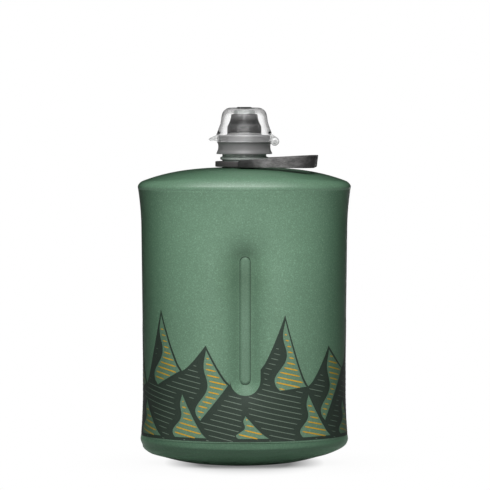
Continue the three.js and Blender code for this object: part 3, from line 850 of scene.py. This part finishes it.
def smooth_run(run, step=1.1):
    """Points along one run of an outline, without its last point."""
    run = np.array(run, float)
    at = np.concatenate([[0], np.cumsum(np.hypot(*np.diff(run, axis=0).T))])
    count = max(int(at[-1] / step), 1)
    where = np.linspace(0, at[-1], count, endpoint=False)
    if len(run) == 2:
        share = (where / at[-1])[:, None]
        return run[0] * (1 - share) + run[1] * share
    return np.column_stack([smooth_curve(at, run[:, 0], where), smooth_curve(at, run[:, 1], where)])


def closed_outline(runs):
    """One closed outline from runs that follow one another."""
    return np.vstack([smooth_run(run) for run in runs])


def crossings(outline, level):
    """Where a closed outline crosses a level line, as (enter, leave) pairs."""
    here, after = outline, np.roll(outline, -1, 0)
    hit = (here[:, 1] > level) != (after[:, 1] > level)
    a, b = here[hit], after[hit]
    places = np.sort(a[:, 0] + (level - a[:, 1]) / (b[:, 1] - a[:, 1]) * (b[:, 0] - a[:, 0]))
    return list(zip(places[0::2], places[1::2]))


def without(spans, holes, gap):
    """Spans with the holes, widened by a gap, taken out."""
    for low, high in holes:
        low, high = low - gap, high + gap
        kept = []
        for a, b in spans:
            kept += [(a, min(b, low)), (max(a, high), b)] if a < high and b > low else [(a, b)]
        spans = [(a, b) for a, b in kept if b > a]
    return spans


def hatch(outline, holes, gap, shift, rng):
    """Sloping hatch lines inside an outline and outside the holes, as pairs of end points."""
    c, s = math.cos(-HATCH_SLOPE), math.sin(-HATCH_SLOPE)
    turn = np.array([[c, -s], [s, c]])
    turned = outline @ turn.T
    turned_holes = [hole @ turn.T for hole in holes]
    lines = []
    level = math.ceil(turned[:, 1].min() / HATCH_STEP) * HATCH_STEP + shift
    while level < turned[:, 1].max():
        spans = crossings(turned, level)
        for hole in turned_holes:
            spans = without(spans, crossings(hole, level), gap)
        for a, b in spans:
            a, b = a + gap + rng.uniform(0, 0.7), b - gap - rng.uniform(0, 0.7)
            if b - a > 0.8:
                lines.append((np.array([a, level]) @ turn, np.array([b, level]) @ turn))
        level += HATCH_STEP
    return lines


def wall_normals():
    """Outward directions at the wall's points."""
    along = np.roll(WALL, -1, 1) - np.roll(WALL, 1, 1)
    up = np.gradient(WALL, axis=0)
    out = np.cross(along, up)
    return out / np.linalg.norm(out, axis=-1, keepdims=True)


WALL_OUT = wall_normals()
WALL_RING = np.vstack([WALL[ARC_ROW], WALL[ARC_ROW][:1]])
ARC = np.concatenate([[0], np.cumsum(np.linalg.norm(np.diff(WALL_RING, axis=0), axis=1))])


def on_wall(places, lift):
    """Lays (round, height) places on the wall, lifted off it."""
    places = np.array(places, float)
    column = np.interp(places[:, 0] % ARC[-1], ARC, np.arange(AROUND + 1))
    low_share = np.clip(1 - (places[:, 1] - PRINT_LOW_Z) / 40, 0, 1)
    height = places[:, 1] + seam_rise(np.sin(column / AROUND * TAU)) * low_share
    row = np.clip(np.interp(height, WALL_Z, np.arange(WALL_ROWS)), 0, WALL_ROWS - 1.001)
    i, j = row.astype(int), column.astype(int) % AROUND
    p, q = (row - i)[:, None], (column - column.astype(int))[:, None]
    k = (j + 1) % AROUND

    def blend(grid):
        """The grid's values between its rows and columns."""
        low = grid[i, j] * (1 - q) + grid[i, k] * q
        high = grid[i + 1, j] * (1 - q) + grid[i + 1, k] * q
        return low * (1 - p) + high * p

    return blend(WALL) + blend(WALL_OUT) * lift


def decal(name, patches, lift, material, slot_name="ink"):
    """A printed layer made of flat patches laid on the wall."""
    points, faces = [], []
    for places, patch_faces in patches:
        start = sum(len(p) for p in points)
        points.append(on_wall(places, lift))
        faces += [tuple(start + int(v) for v in face) for face in patch_faces]
    piece = add_mesh(name, np.vstack(points), faces, material)
    place(piece, "bottle", slot_name)
    return flatten(piece)


def filled(outline, spacing=2.1):
    """Triangles that fill an outline, fine enough to follow the wall."""
    low, high = outline.min(0), outline.max(0)
    across = np.arange(low[0] + spacing / 2, high[0], spacing)
    up = np.arange(low[1] + spacing / 2, high[1], spacing)
    inner = [(u, z) for z in up for a, b in crossings(outline, z) for u in across if a + 0.5 < u < b - 0.5]
    points = [Vector(p) for p in np.vstack([outline, np.array(inner).reshape(-1, 2)])]
    count = len(outline)
    edges = [(i, (i + 1) % count) for i in range(count)]
    places, _, faces, *_ = geometry.delaunay_2d_cdt(points, edges, [], 1, 1e-4)
    return np.array([tuple(p) for p in places]), faces


def ribbon(path, width, closed=False):
    """A band of even width along a path of places."""
    path = np.array(path)
    ahead = np.roll(path, -1, 0) - np.roll(path, 1, 0) if closed else np.gradient(path, axis=0)
    side = np.column_stack([-ahead[:, 1], ahead[:, 0]])
    side /= np.linalg.norm(side, axis=1)[:, None] + 1e-9
    places = np.vstack([path + side * width / 2, path - side * width / 2])
    count = len(path)
    last = count if closed else count - 1
    faces = [(i, (i + 1) % count, count + (i + 1) % count, count + i) for i in range(last)]
    return places, faces


def stroke(start, end, width):
    """One hatch line, with slightly tapered ends."""
    length = np.linalg.norm(end - start)
    share = np.linspace(0, 1, max(int(length / 1.5), 2) + 1)[:, None]
    path = start * (1 - share) + end * share
    places, faces = ribbon(path, width)
    count = len(path)
    for tip in (0, count - 1):
        middle = (places[tip] + places[count + tip]) / 2
        for row in (tip, count + tip):
            places[row] = middle + (places[row] - middle) * 0.55
    return places, faces


def printed_range():
    """The range and its hatching, printed on the front and again on the back."""
    half_round = ARC[-1] / 2
    skyline_runs, lit_runs = plain_range(half_round)
    skyline = closed_outline(skyline_runs)
    faces = [closed_outline(runs) for runs in lit_runs]
    rng = random.Random(11)
    pale = hatch(skyline, faces, 1.7, 0.4, rng)
    gold = [line for face in faces for line in hatch(face, [], 1.2, 0, rng)]
    for label, shift in (("front", 0), ("back", half_round)):
        move = np.array([shift, 0])

        def moved(patches, move=move):
            """Patches shifted round the bottle."""
            return [(places + move, patch_faces) for places, patch_faces in patches]

        decal(f"{label}_range_ink", moved([filled(skyline)]), 0.06, INK)
        decal(f"{label}_lit_faces", moved([filled(face) for face in faces]), 0.11, LIT_FACE, "soft_film")
        decal(f"{label}_face_outlines", moved([ribbon(face, 0.7, True) for face in faces]), 0.15, INK)
        decal(f"{label}_gold_hatch", moved([stroke(a, b, 0.78) for a, b in gold]), 0.17, GOLD, "gold_ink")
        decal(f"{label}_pale_hatch", moved([stroke(a, b, 0.42) for a, b in pale]), 0.13, KNOCK_OUT)


# ---- spout, cap and nozzle ----
def helix(name, root_r, crest_r, start_z, turns, pitch, material):
    """A screw thread's ridge, fading out at both ends."""
    steps = int(turns * 64)
    path, sections = [], []
    for k in range(steps + 1):
        share = k / steps
        angle = TAU * turns * share
        full = max(0.04, min(1, share / 0.06, (1 - share) / 0.06))
        out = np.array([math.cos(angle), math.sin(angle), 0])
        up = np.array([0, 0, 1])
        path.append(out * root_r + up * (start_z + pitch * turns * share))
        reach = (crest_r - root_r) * full
        shape = [
            (0, -0.65), (reach * 0.8, -0.4), (reach, -0.25), (reach, 0.25), (reach * 0.8, 0.4), (0, 0.65),
        ]
        sections.append([out * a + up * b for a, b in shape])
    return sweep(name, path, sections, material)


THREAD_PITCH = 3.0
THREAD_Z = 182.6
CAP_STEP_Z = 187.3
COVER_LOW_Z = CAP_STEP_Z + 0.25


def spout():
    """A tube with a flange that is welded under the shoulder, a bead, and a threaded upper part."""
    flange_low, flange_high = 168.4, 169.6
    foot_z = flange_low - FILM_THICK
    flange_r, bead_r, neck_r, bore_r = SPOUT_HIGH.x, 14, 12, 10.4
    bead_z = 177.5
    shell = lathe("spout", [
        (bore_r, foot_z, 0.3), (SPOUT_R, foot_z, 0.3), (SPOUT_R, flange_low, 0), (flange_r, flange_low, 0.4),
        (flange_r, flange_high, 0.4), (SPOUT_R, flange_high, 0.2), (SPOUT_R, bead_z - 1, 0.3),
        (bead_r, bead_z - 0.75, 0.5), (bead_r, bead_z + 0.75, 0.5), (SPOUT_R, bead_z + 1, 0.3),
        (SPOUT_R, COLLAR_LOW.z + 0.2, 0.2), (neck_r, COLLAR_LOW.z + 0.7, 0.2), (neck_r, SPOUT_HIGH.z, 0.5),
        (bore_r, SPOUT_HIGH.z, 0.5),
    ], SPOUT_PAINTED_LIGHT)
    place(shell, "bottle", "spout_green", "neck_spout")
    thread = helix("spout_thread", 11.9, 13, THREAD_Z, 0.9, THREAD_PITCH, SPOUT_PAINTED_LIGHT)
    place(thread, "bottle", "spout_green")


def collar():
    """The waisted cap with its inner thread and the lug between the cover's knuckles."""
    low, high = COLLAR_LOW.z, COLLAR_HIGH.z
    plate, skirt_r, hole_r = high - 2.4, 13.4, 9.2
    shell = lathe("cap_collar_shell", [
        (skirt_r, low, 0.4), (16.3, low, 0.35), (16.1, low + 0.9, 0.5), (15.4, low + 2.2, 1.6),
        (15.1, low + 4, 1.8), (15.25, low + 5.8, 1.2), (15.9, low + 6.9, 0.5), (15.95, CAP_STEP_Z, 0.25),
        (15, CAP_STEP_Z, 0.2), (15, high - 0.7, 0.6), (14.4, high, 0.6), (10.9, high, 0.4),
        (hole_r, high - 0.1, 0.2), (hole_r, plate, 0.2), (skirt_r, plate, 0.3),
    ], CAP, segments=160)
    knuckle_room = extruded("knuckle_room", arc(PIN_X, PIN_Z, KNUCKLE_R + 0.25, 0, 348, 30),
                            -KNUCKLE_HALF - 0.3, KNUCKLE_HALF + 0.3, CAP)
    cut(shell, knuckle_room)
    shade(shell.data, 35)
    place(shell, "cap", "cap_grey", "cap_collar")
    outline = [(14.1, PIN_Z - LUG_R)] + arc(PIN_X, PIN_Z, LUG_R, -90, 90) + [(14.1, PIN_Z + LUG_R)]
    lug = extruded("cap_lug", outline, -LUG_HALF, LUG_HALF, CAP, bevel=0.3)
    place(lug, "cap", "cap_grey")
    thread = helix("cap_thread", 13.5, 12.4, THREAD_Z - THREAD_PITCH / 2, 1.2, THREAD_PITCH, CAP)
    place(thread, "cap", "cap_grey")


def retaining_ring():
    """The low ring at the nozzle's foot."""
    low, high = RETAINER_LOW.z, RETAINER_HIGH.z
    ring = lathe("nozzle_retainer", [
        (7, low, 0.2), (10.3, low - 0.35, 0.2), (10.3, high - 0.1, 0.4), (9.9, high, 0.2), (7, high, 0.2),
    ], CAP)
    place(ring, "cap", "cap_grey", "retaining_ring")


def sleeve():
    """The soft nozzle: a foot, a waist, and a lip round the hole."""
    low, high = SLEEVE_LOW.z, SLEEVE_HIGH.z
    shell = lathe("sip_nozzle_sleeve", [
        (9.5, low - 0.4, 0.1), (9.95, low - 0.4, 0.2), (9.8, low + 2.9, 0.6), (9.1, low + 3.9, 0.8),
        (8.3, low + 5.9, 1.4), (7.9, low + 7.6, 1.2), (7.8, high - 1.2, 0.3), (7.6, high + 0.35, 0.3),
        (6.6, high + 0.35, 0.2), (6.45, high, 0.1), (4.2, high - 0.3, 0.6), (3.6, high - 1.2, 0.3),
        (3.6, high - 1.7, 0.1), (5.5, high - 1.7, 0.1), (5.5, low + 0.8, 0.1), (9.5, low + 0.8, 0.1),
    ], SLEEVE)
    place(shell, "nozzle", "nozzle_grey", "nozzle_sleeve")


def dust_cover():
    """A thin clear bell with a pull tab, two knuckles on its hinge, and room for the cap's lug."""
    low, high = COVER_LOW_Z, COVER_HIGH.z
    shell = lathe("clear_dust_cover", [
        (15.4, low, 0.25), (COVER_RIM_R, low, 0.3), (16.4, 190.8, 1), (15.4, 193.5, 1.2), (14.6, 195.7, 1.2),
        (13.85, 197.9, 1.2), (13.5, 199.8, 1), (13.15, 202.6, 1.2), (12.2, 205, 1.4), (10.2, 206.5, 1.2),
        (8.5, high - 0.4, 0.6), (4.3, high - 0.35, 0.2), (4.1, high, 0.3), (0.02, high, 0),
        (0.02, high - 1.7, 0), (8.2, high - 1.8, 0.8), (9.7, 204.9, 0.9), (11, 203.4, 0.9), (11.7, 201.8, 1),
        (12.05, 199.5, 1), (12.45, 197.4, 1), (13.2, 195.2, 1.2), (14, 193, 1.2), (15.3, 190.8, 1),
    ], CLEAR, segments=160, smooth_angle=45)
    arm = [(14.9, 192.4)] + arc(PIN_X, PIN_Z, KNUCKLE_R, 45, -180, 30) + [(14.9, PIN_Z + 0.6)]
    knuckles = extruded("knuckles", arm, -KNUCKLE_HALF, KNUCKLE_HALF, CLEAR)
    below = 180  # the tools start well under the cover
    inside = lathe_solid("inside", [(15.4, below, 0), (15.4, 190.8, 0), (14.2, 193, 0)], CLEAR, segments=160)
    collar_outline = [(16.2, below, 0), (16.2, CAP_STEP_Z + 0.2, 0)]
    collar_room = lathe_solid("collar_room", collar_outline, CLEAR, segments=160)
    pin_room = extruded("pin_room", arc(PIN_X, PIN_Z, 0.9, 0, 348, 30), -9, 9, CLEAR)
    for tool in (collar_room, pin_room):
        cut(knuckles, tool)
    tab = extruded("tab", [
        (-15.9, low + 0.1), (-20, low + 0.1), (-20.6, 188.3), (-20.2, 189), (-18, 190), (-15.9, 191),
    ], -4.5, 4.5, CLEAR)
    cut(knuckles, inside)
    cut(shell, knuckles, "UNION")
    cut(shell, tab, "UNION")
    lug_room = extruded("lug_room", [(14, PIN_Z - 4), (24, PIN_Z - 4), (24, PIN_Z + 2.8), (14, PIN_Z + 2.8)],
                        -LUG_HALF - 0.3, LUG_HALF + 0.3, CLEAR)
    cut(shell, lug_room)
    shade(shell.data, 35)
    shell.visible_shadow = False
    place(shell, "cover", "clear_plastic", "dust_cover")


def hinge_pin():
    """A pin with small rounded heads, along Y."""
    half, head = KNUCKLE_HALF, KNUCKLE_HALF + 0.35
    r = PIN_HIGH.x - PIN_X
    head_r = 1.3
    pin = lathe_solid("cover_hinge_pin", [
        (0.3, -head, 0), (head_r, -head, 0.6), (head_r, -half, 0.1), (r, -half, 0), (r, half, 0),
        (head_r, half, 0.1), (head_r, head, 0.6), (0.3, head, 0),
    ], STEEL, segments=32)
    pin.data.transform(Matrix.Translation((PIN_X * MM, 0, PIN_Z * MM)) @ Matrix.Rotation(math.pi / 2, 4, "X"))
    place(pin, "cap", "steel", "hinge_pin")


# ---- handle ----
PIVOT_Z = JOINTS["bail_swing"]["pos_m"][2] / MM
PIVOT_AXIS = JOINTS["bail_swing"]["axis"]
HANDLE_TURN = Matrix.Rotation(math.atan2(PIVOT_AXIS[0], -PIVOT_AXIS[1]), 4, "Z")
RING_R = 16.9
TRUNNION_REACH = 3.4
BAIL_INNER = 17.7
BAIL_REACH = 41.95
BAIL_CORNER_R = 9
BAIL_THICK = 2.8
BAIL_END_R = 2.3
BAIL_BOW_HEIGHT = 7.1
BAIL_RISE = 1.05
BAIL_LEAN = 0.9


def handle_ring():
    """The ring under the bead, with a pivot stub on each side."""
    low, high, r = RING_LOW.z, RING_HIGH.z, RING_R
    band = lathe("handle_ring_band", [
        (13.4, low, 0.4), (r, low, 0.5), (r, high, 0.5), (13.4, high, 0.4),
    ], HANDLE)
    place(band, "ring", "handle_grey", "handle_ring")
    for side in (-1, 1):
        near, far = sorted((side * (r - 0.6), side * (r + TRUNNION_REACH)))
        name = "trunnion_front" if side < 0 else "trunnion_back"
        stub = extruded(name, arc(0, PIVOT_Z, 1.05, 0, 345, 23), near, far, HANDLE, bevel=0.2)
        stub.data.transform(HANDLE_TURN)
        place(stub, "ring", "handle_grey")


def bail_path():
    """The strap's middle line in plan, as places with their outward directions."""
    middle = BAIL_INNER + BAIL_THICK / 2
    corner_r = BAIL_CORNER_R - BAIL_THICK / 2
    corner_x, corner_y = BAIL_REACH - BAIL_CORNER_R, middle - corner_r
    end = [-BAIL_END_R * math.cos(a) for a in np.linspace(0, math.pi / 2, 9)]
    side = end + list(np.linspace(0, corner_x, 15)[1:-1])
    path = [(x, -middle, 0, -1) for x in side]
    for sign, angles in ((-1, np.linspace(-math.pi / 2, 0, 15)), (1, np.linspace(0, math.pi / 2, 15))):
        for a in angles:
            out = (math.cos(a), math.sin(a))
            path.append((corner_x + corner_r * out[0], sign * corner_y + corner_r * out[1], *out))
    return path + [(x, middle, 0, 1) for x in reversed(side)]


def bail_handle():
    """A strap bent into a U, taller at its bow, with rounded edges and ends rounded about the pivots."""
    centres, sections = [], []
    for x, y, out_x, out_y in bail_path():
        along = min(max(x / BAIL_REACH, 0), 1)
        half = BAIL_END_R * (1 - along) + BAIL_BOW_HEIGHT / 2 * along
        if x < 0:
            half = max(math.sqrt(max(BAIL_END_R**2 - x**2, 0)), 0.3)
        centres.append((x, y, PIVOT_Z + BAIL_RISE * along))
        corner = min(0.4, half * 0.8)
        shape = []
        for turn, (side, level) in enumerate(((1, 1), (-1, 1), (-1, -1), (1, -1))):
            for a in np.linspace(0, math.pi / 2, 6) + turn * math.pi / 2:
                across = side * (BAIL_THICK / 2 - corner) + corner * math.cos(a)
                up = level * (half - corner) + corner * math.sin(a)
                lean = BAIL_LEAN * up / (2 * half) * along**2
                shape.append((out_x * across + lean, out_y * across, up))
        sections.append(shape)
    bail = sweep("swing_handle_strap", centres, sections, STRAP, smooth_angle=40)
    bail.data.transform(HANDLE_TURN)
    place(bail, "bail", "handle_grey", "bail_handle")


# ---- carried-over CAD nodes ----
CARRIED = {
    "baffle_web": WELD, "cap_gasket": RUBBER, "valve_seat": CAP, "valve_seal": RUBBER, "nozzle_core": CAP,
    "nozzle_o_ring": RUBBER, "slit_valve": SILICONE, "cover_plug": SILICONE,
}


def dress_cad_nodes():
    """Gives the CAD solids that stay in the model their own materials."""
    for name, material in CARRIED.items():
        node = NODES[name]
        node.data.materials.clear()
        node.data.materials.append(material)
        shade(node.data, 35)
    flatten(NODES["baffle_web"])


# ---- stage ----
def area_light(name, place_m, target_m, size_m, power):
    """A soft box of a width and height, turned towards a target."""
    light = bpy.data.lights.new(name, "AREA")
    light.shape = "RECTANGLE"
    light.size, light.size_y = size_m
    light.energy = power
    lamp = bpy.data.objects.new(name, light)
    bpy.context.scene.collection.objects.link(lamp)
    lamp.location = place_m
    lamp.rotation_euler = (Vector(target_m) - Vector(place_m)).to_track_quat("-Z", "Y").to_euler()
    return lamp


MIRRORED_LOSS = 0.55  # how much darker the backdrop is in a mirrored view seen through clear plastic


class LightTree(Tree):
    """The node tree of the world or the floor, whose look depends on what kind of ray sees it."""

    def __init__(self, owner):
        super().__init__(owner)
        self.rays = self.add("ShaderNodeLightPath").outputs

    def maths(self, operation, first, second):
        """Two values or sockets combined, kept from 0 to 1."""
        node = self.add("ShaderNodeMath", operation=operation, use_clamp=True)
        self.fill(node.inputs[0], first)
        self.fill(node.inputs[1], second)
        return node.outputs[0]

    def seen(self):
        """1 for what the camera sees, straight or through clear plastic, and 0 for light on surfaces."""
        direct = self.maths("MAXIMUM", self.rays["Is Camera Ray"], self.rays["Is Transmission Ray"])
        mirrored = self.maths("MULTIPLY", self.maths("MINIMUM", self.rays["Glossy Depth"], 1), MIRRORED_LOSS)
        return self.maths("SUBTRACT", direct, self.maths("ADD", self.rays["Diffuse Depth"], mirrored))


SEEN_STRENGTH = 1.0  # white backdrop
FILL_STRENGTH = 0.1  # soft light from all round
MIRRORED_STRENGTH = 0.04


def white_room():
    """A backdrop that looks white, but lights the object only softly."""
    world = bpy.data.worlds.new("studio")
    bpy.context.scene.world = world
    light = LightTree(world)
    backdrop = light.tree.nodes["Background"]
    backdrop.inputs["Color"].default_value = (1, 1, 1, 1)
    seen = light.span(light.seen(), 0, SEEN_STRENGTH)
    fill = light.span(light.rays["Is Glossy Ray"], FILL_STRENGTH, MIRRORED_STRENGTH)
    light.link(light.maths("MAXIMUM", seen, fill), backdrop.inputs["Strength"])


def floor_material():
    """A pale floor: white to the eye, with a painted soft shadow where the object is close to it."""
    material = bpy.data.materials.new("pale_floor")
    light = LightTree(material)
    shader = light.tree.nodes["Principled BSDF"]
    shader.inputs["Base Color"].default_value = (0.55, 0.55, 0.55, 1)
    shader.inputs["Roughness"].default_value = 0.9
    # The painted shadow: glow darkened by ambient occlusion near the object, faded by a fixed spot round the
    # middle.
    near = light.add("ShaderNodeAmbientOcclusion", samples=24)
    near.inputs["Distance"].default_value = 0.085
    shadow = light.add("ShaderNodeValToRGB")
    stops = shadow.color_ramp.elements
    stops[0].position, stops[0].color = 0.1, (0.2, 0.2, 0.2, 1)
    stops[1].position, stops[1].color = 0.9, (1, 1, 1, 1)
    for where, tone in ((0.5, 0.62), (0.8, 0.88)):
        stops.new(where).color = (tone, tone, tone, 1)
    light.link(near.outputs["AO"], shadow.inputs["Fac"])
    coords = light.add("ShaderNodeTexCoord")
    mapping = light.add("ShaderNodeMapping")
    mapping.inputs["Scale"].default_value = (1 / 0.047, 1 / 0.08, 0)
    light.link(coords.outputs["Object"], mapping.inputs["Vector"])
    middle_spot = light.add("ShaderNodeTexGradient", gradient_type="SPHERICAL")
    light.link(mapping.outputs["Vector"], middle_spot.inputs["Vector"])
    faded = light.add("ShaderNodeMix", data_type="RGBA", clamp_factor=True)
    sockets = {socket.name: socket for socket in faded.inputs if socket.enabled}
    sockets["A"].default_value = (1, 1, 1, 1)
    light.link(shadow.outputs["Color"], sockets["B"])
    light.link(light.span(middle_spot.outputs["Fac"], 0.08, 2.2), sockets["Factor"])
    glow = light.add("ShaderNodeEmission")
    light.link(next(s for s in faded.outputs if s.enabled), glow.inputs["Color"])
    pick = light.add("ShaderNodeMixShader")
    for target, source in enumerate((light.seen(), shader.outputs[0], glow.outputs[0])):
        light.link(source, pick.inputs[target])
    light.link(pick.outputs[0], light.tree.nodes["Material Output"].inputs["Surface"])
    return material


def studio():
    """The white room, its floor and the lamps."""
    white_room()
    reach = 4000
    corners = [(-reach, -reach, 0), (reach, -reach, 0), (reach, reach, 0), (-reach, reach, 0)]
    floor = add_mesh("floor", corners, [(0, 1, 2, 3)], floor_material())
    area_light("key", (-0.06, -0.52, 0.9), (0, 0, 0.1), (0.8, 0.5), 8.6)
    area_light("front", (-0.04, -1.9, 0.72), (0, 0, 0.12), (0.22, 0.5), 3.2)
    behind = area_light("behind", (0.5, 1.8, 0.2), (0, 0, 0.12), (0.8, 0.5), 22)
    behind.visible_glossy = False
    behind.visible_transmission = False


def camera():
    """A long lens, slightly above the bottle and a degree to the left of its front."""
    distance, height = 2.19, 0.225
    yaw = math.radians(0.9)
    target = Vector((0.0004, 0, 0.127))
    view_height = 0.2852
    lens = bpy.data.cameras.new("photo_camera")
    eye = bpy.data.objects.new("photo_camera", lens)
    bpy.context.scene.collection.objects.link(eye)
    eye.location = (target.x - distance * math.sin(yaw), -distance * math.cos(yaw), height)
    eye.rotation_euler = (target - eye.location).to_track_quat("-Z", "Y").to_euler()
    lens.sensor_width = 36
    lens.lens = 18 / (view_height / 2 / (target - eye.location).length)
    bpy.context.scene.camera = eye


def build():
    """Every piece of the bottle, then the stage."""
    side_wall()
    shoulder()
    base_pan()
    printed_range()
    weld_strip(-1, "front")
    weld_strip(1, "back")
    spout()
    collar()
    retaining_ring()
    sleeve()
    dust_cover()
    hinge_pin()
    handle_ring()
    bail_handle()
    dress_cad_nodes()
    studio()
    camera()
    bpy.context.scene.view_settings.view_transform = "Standard"


build()
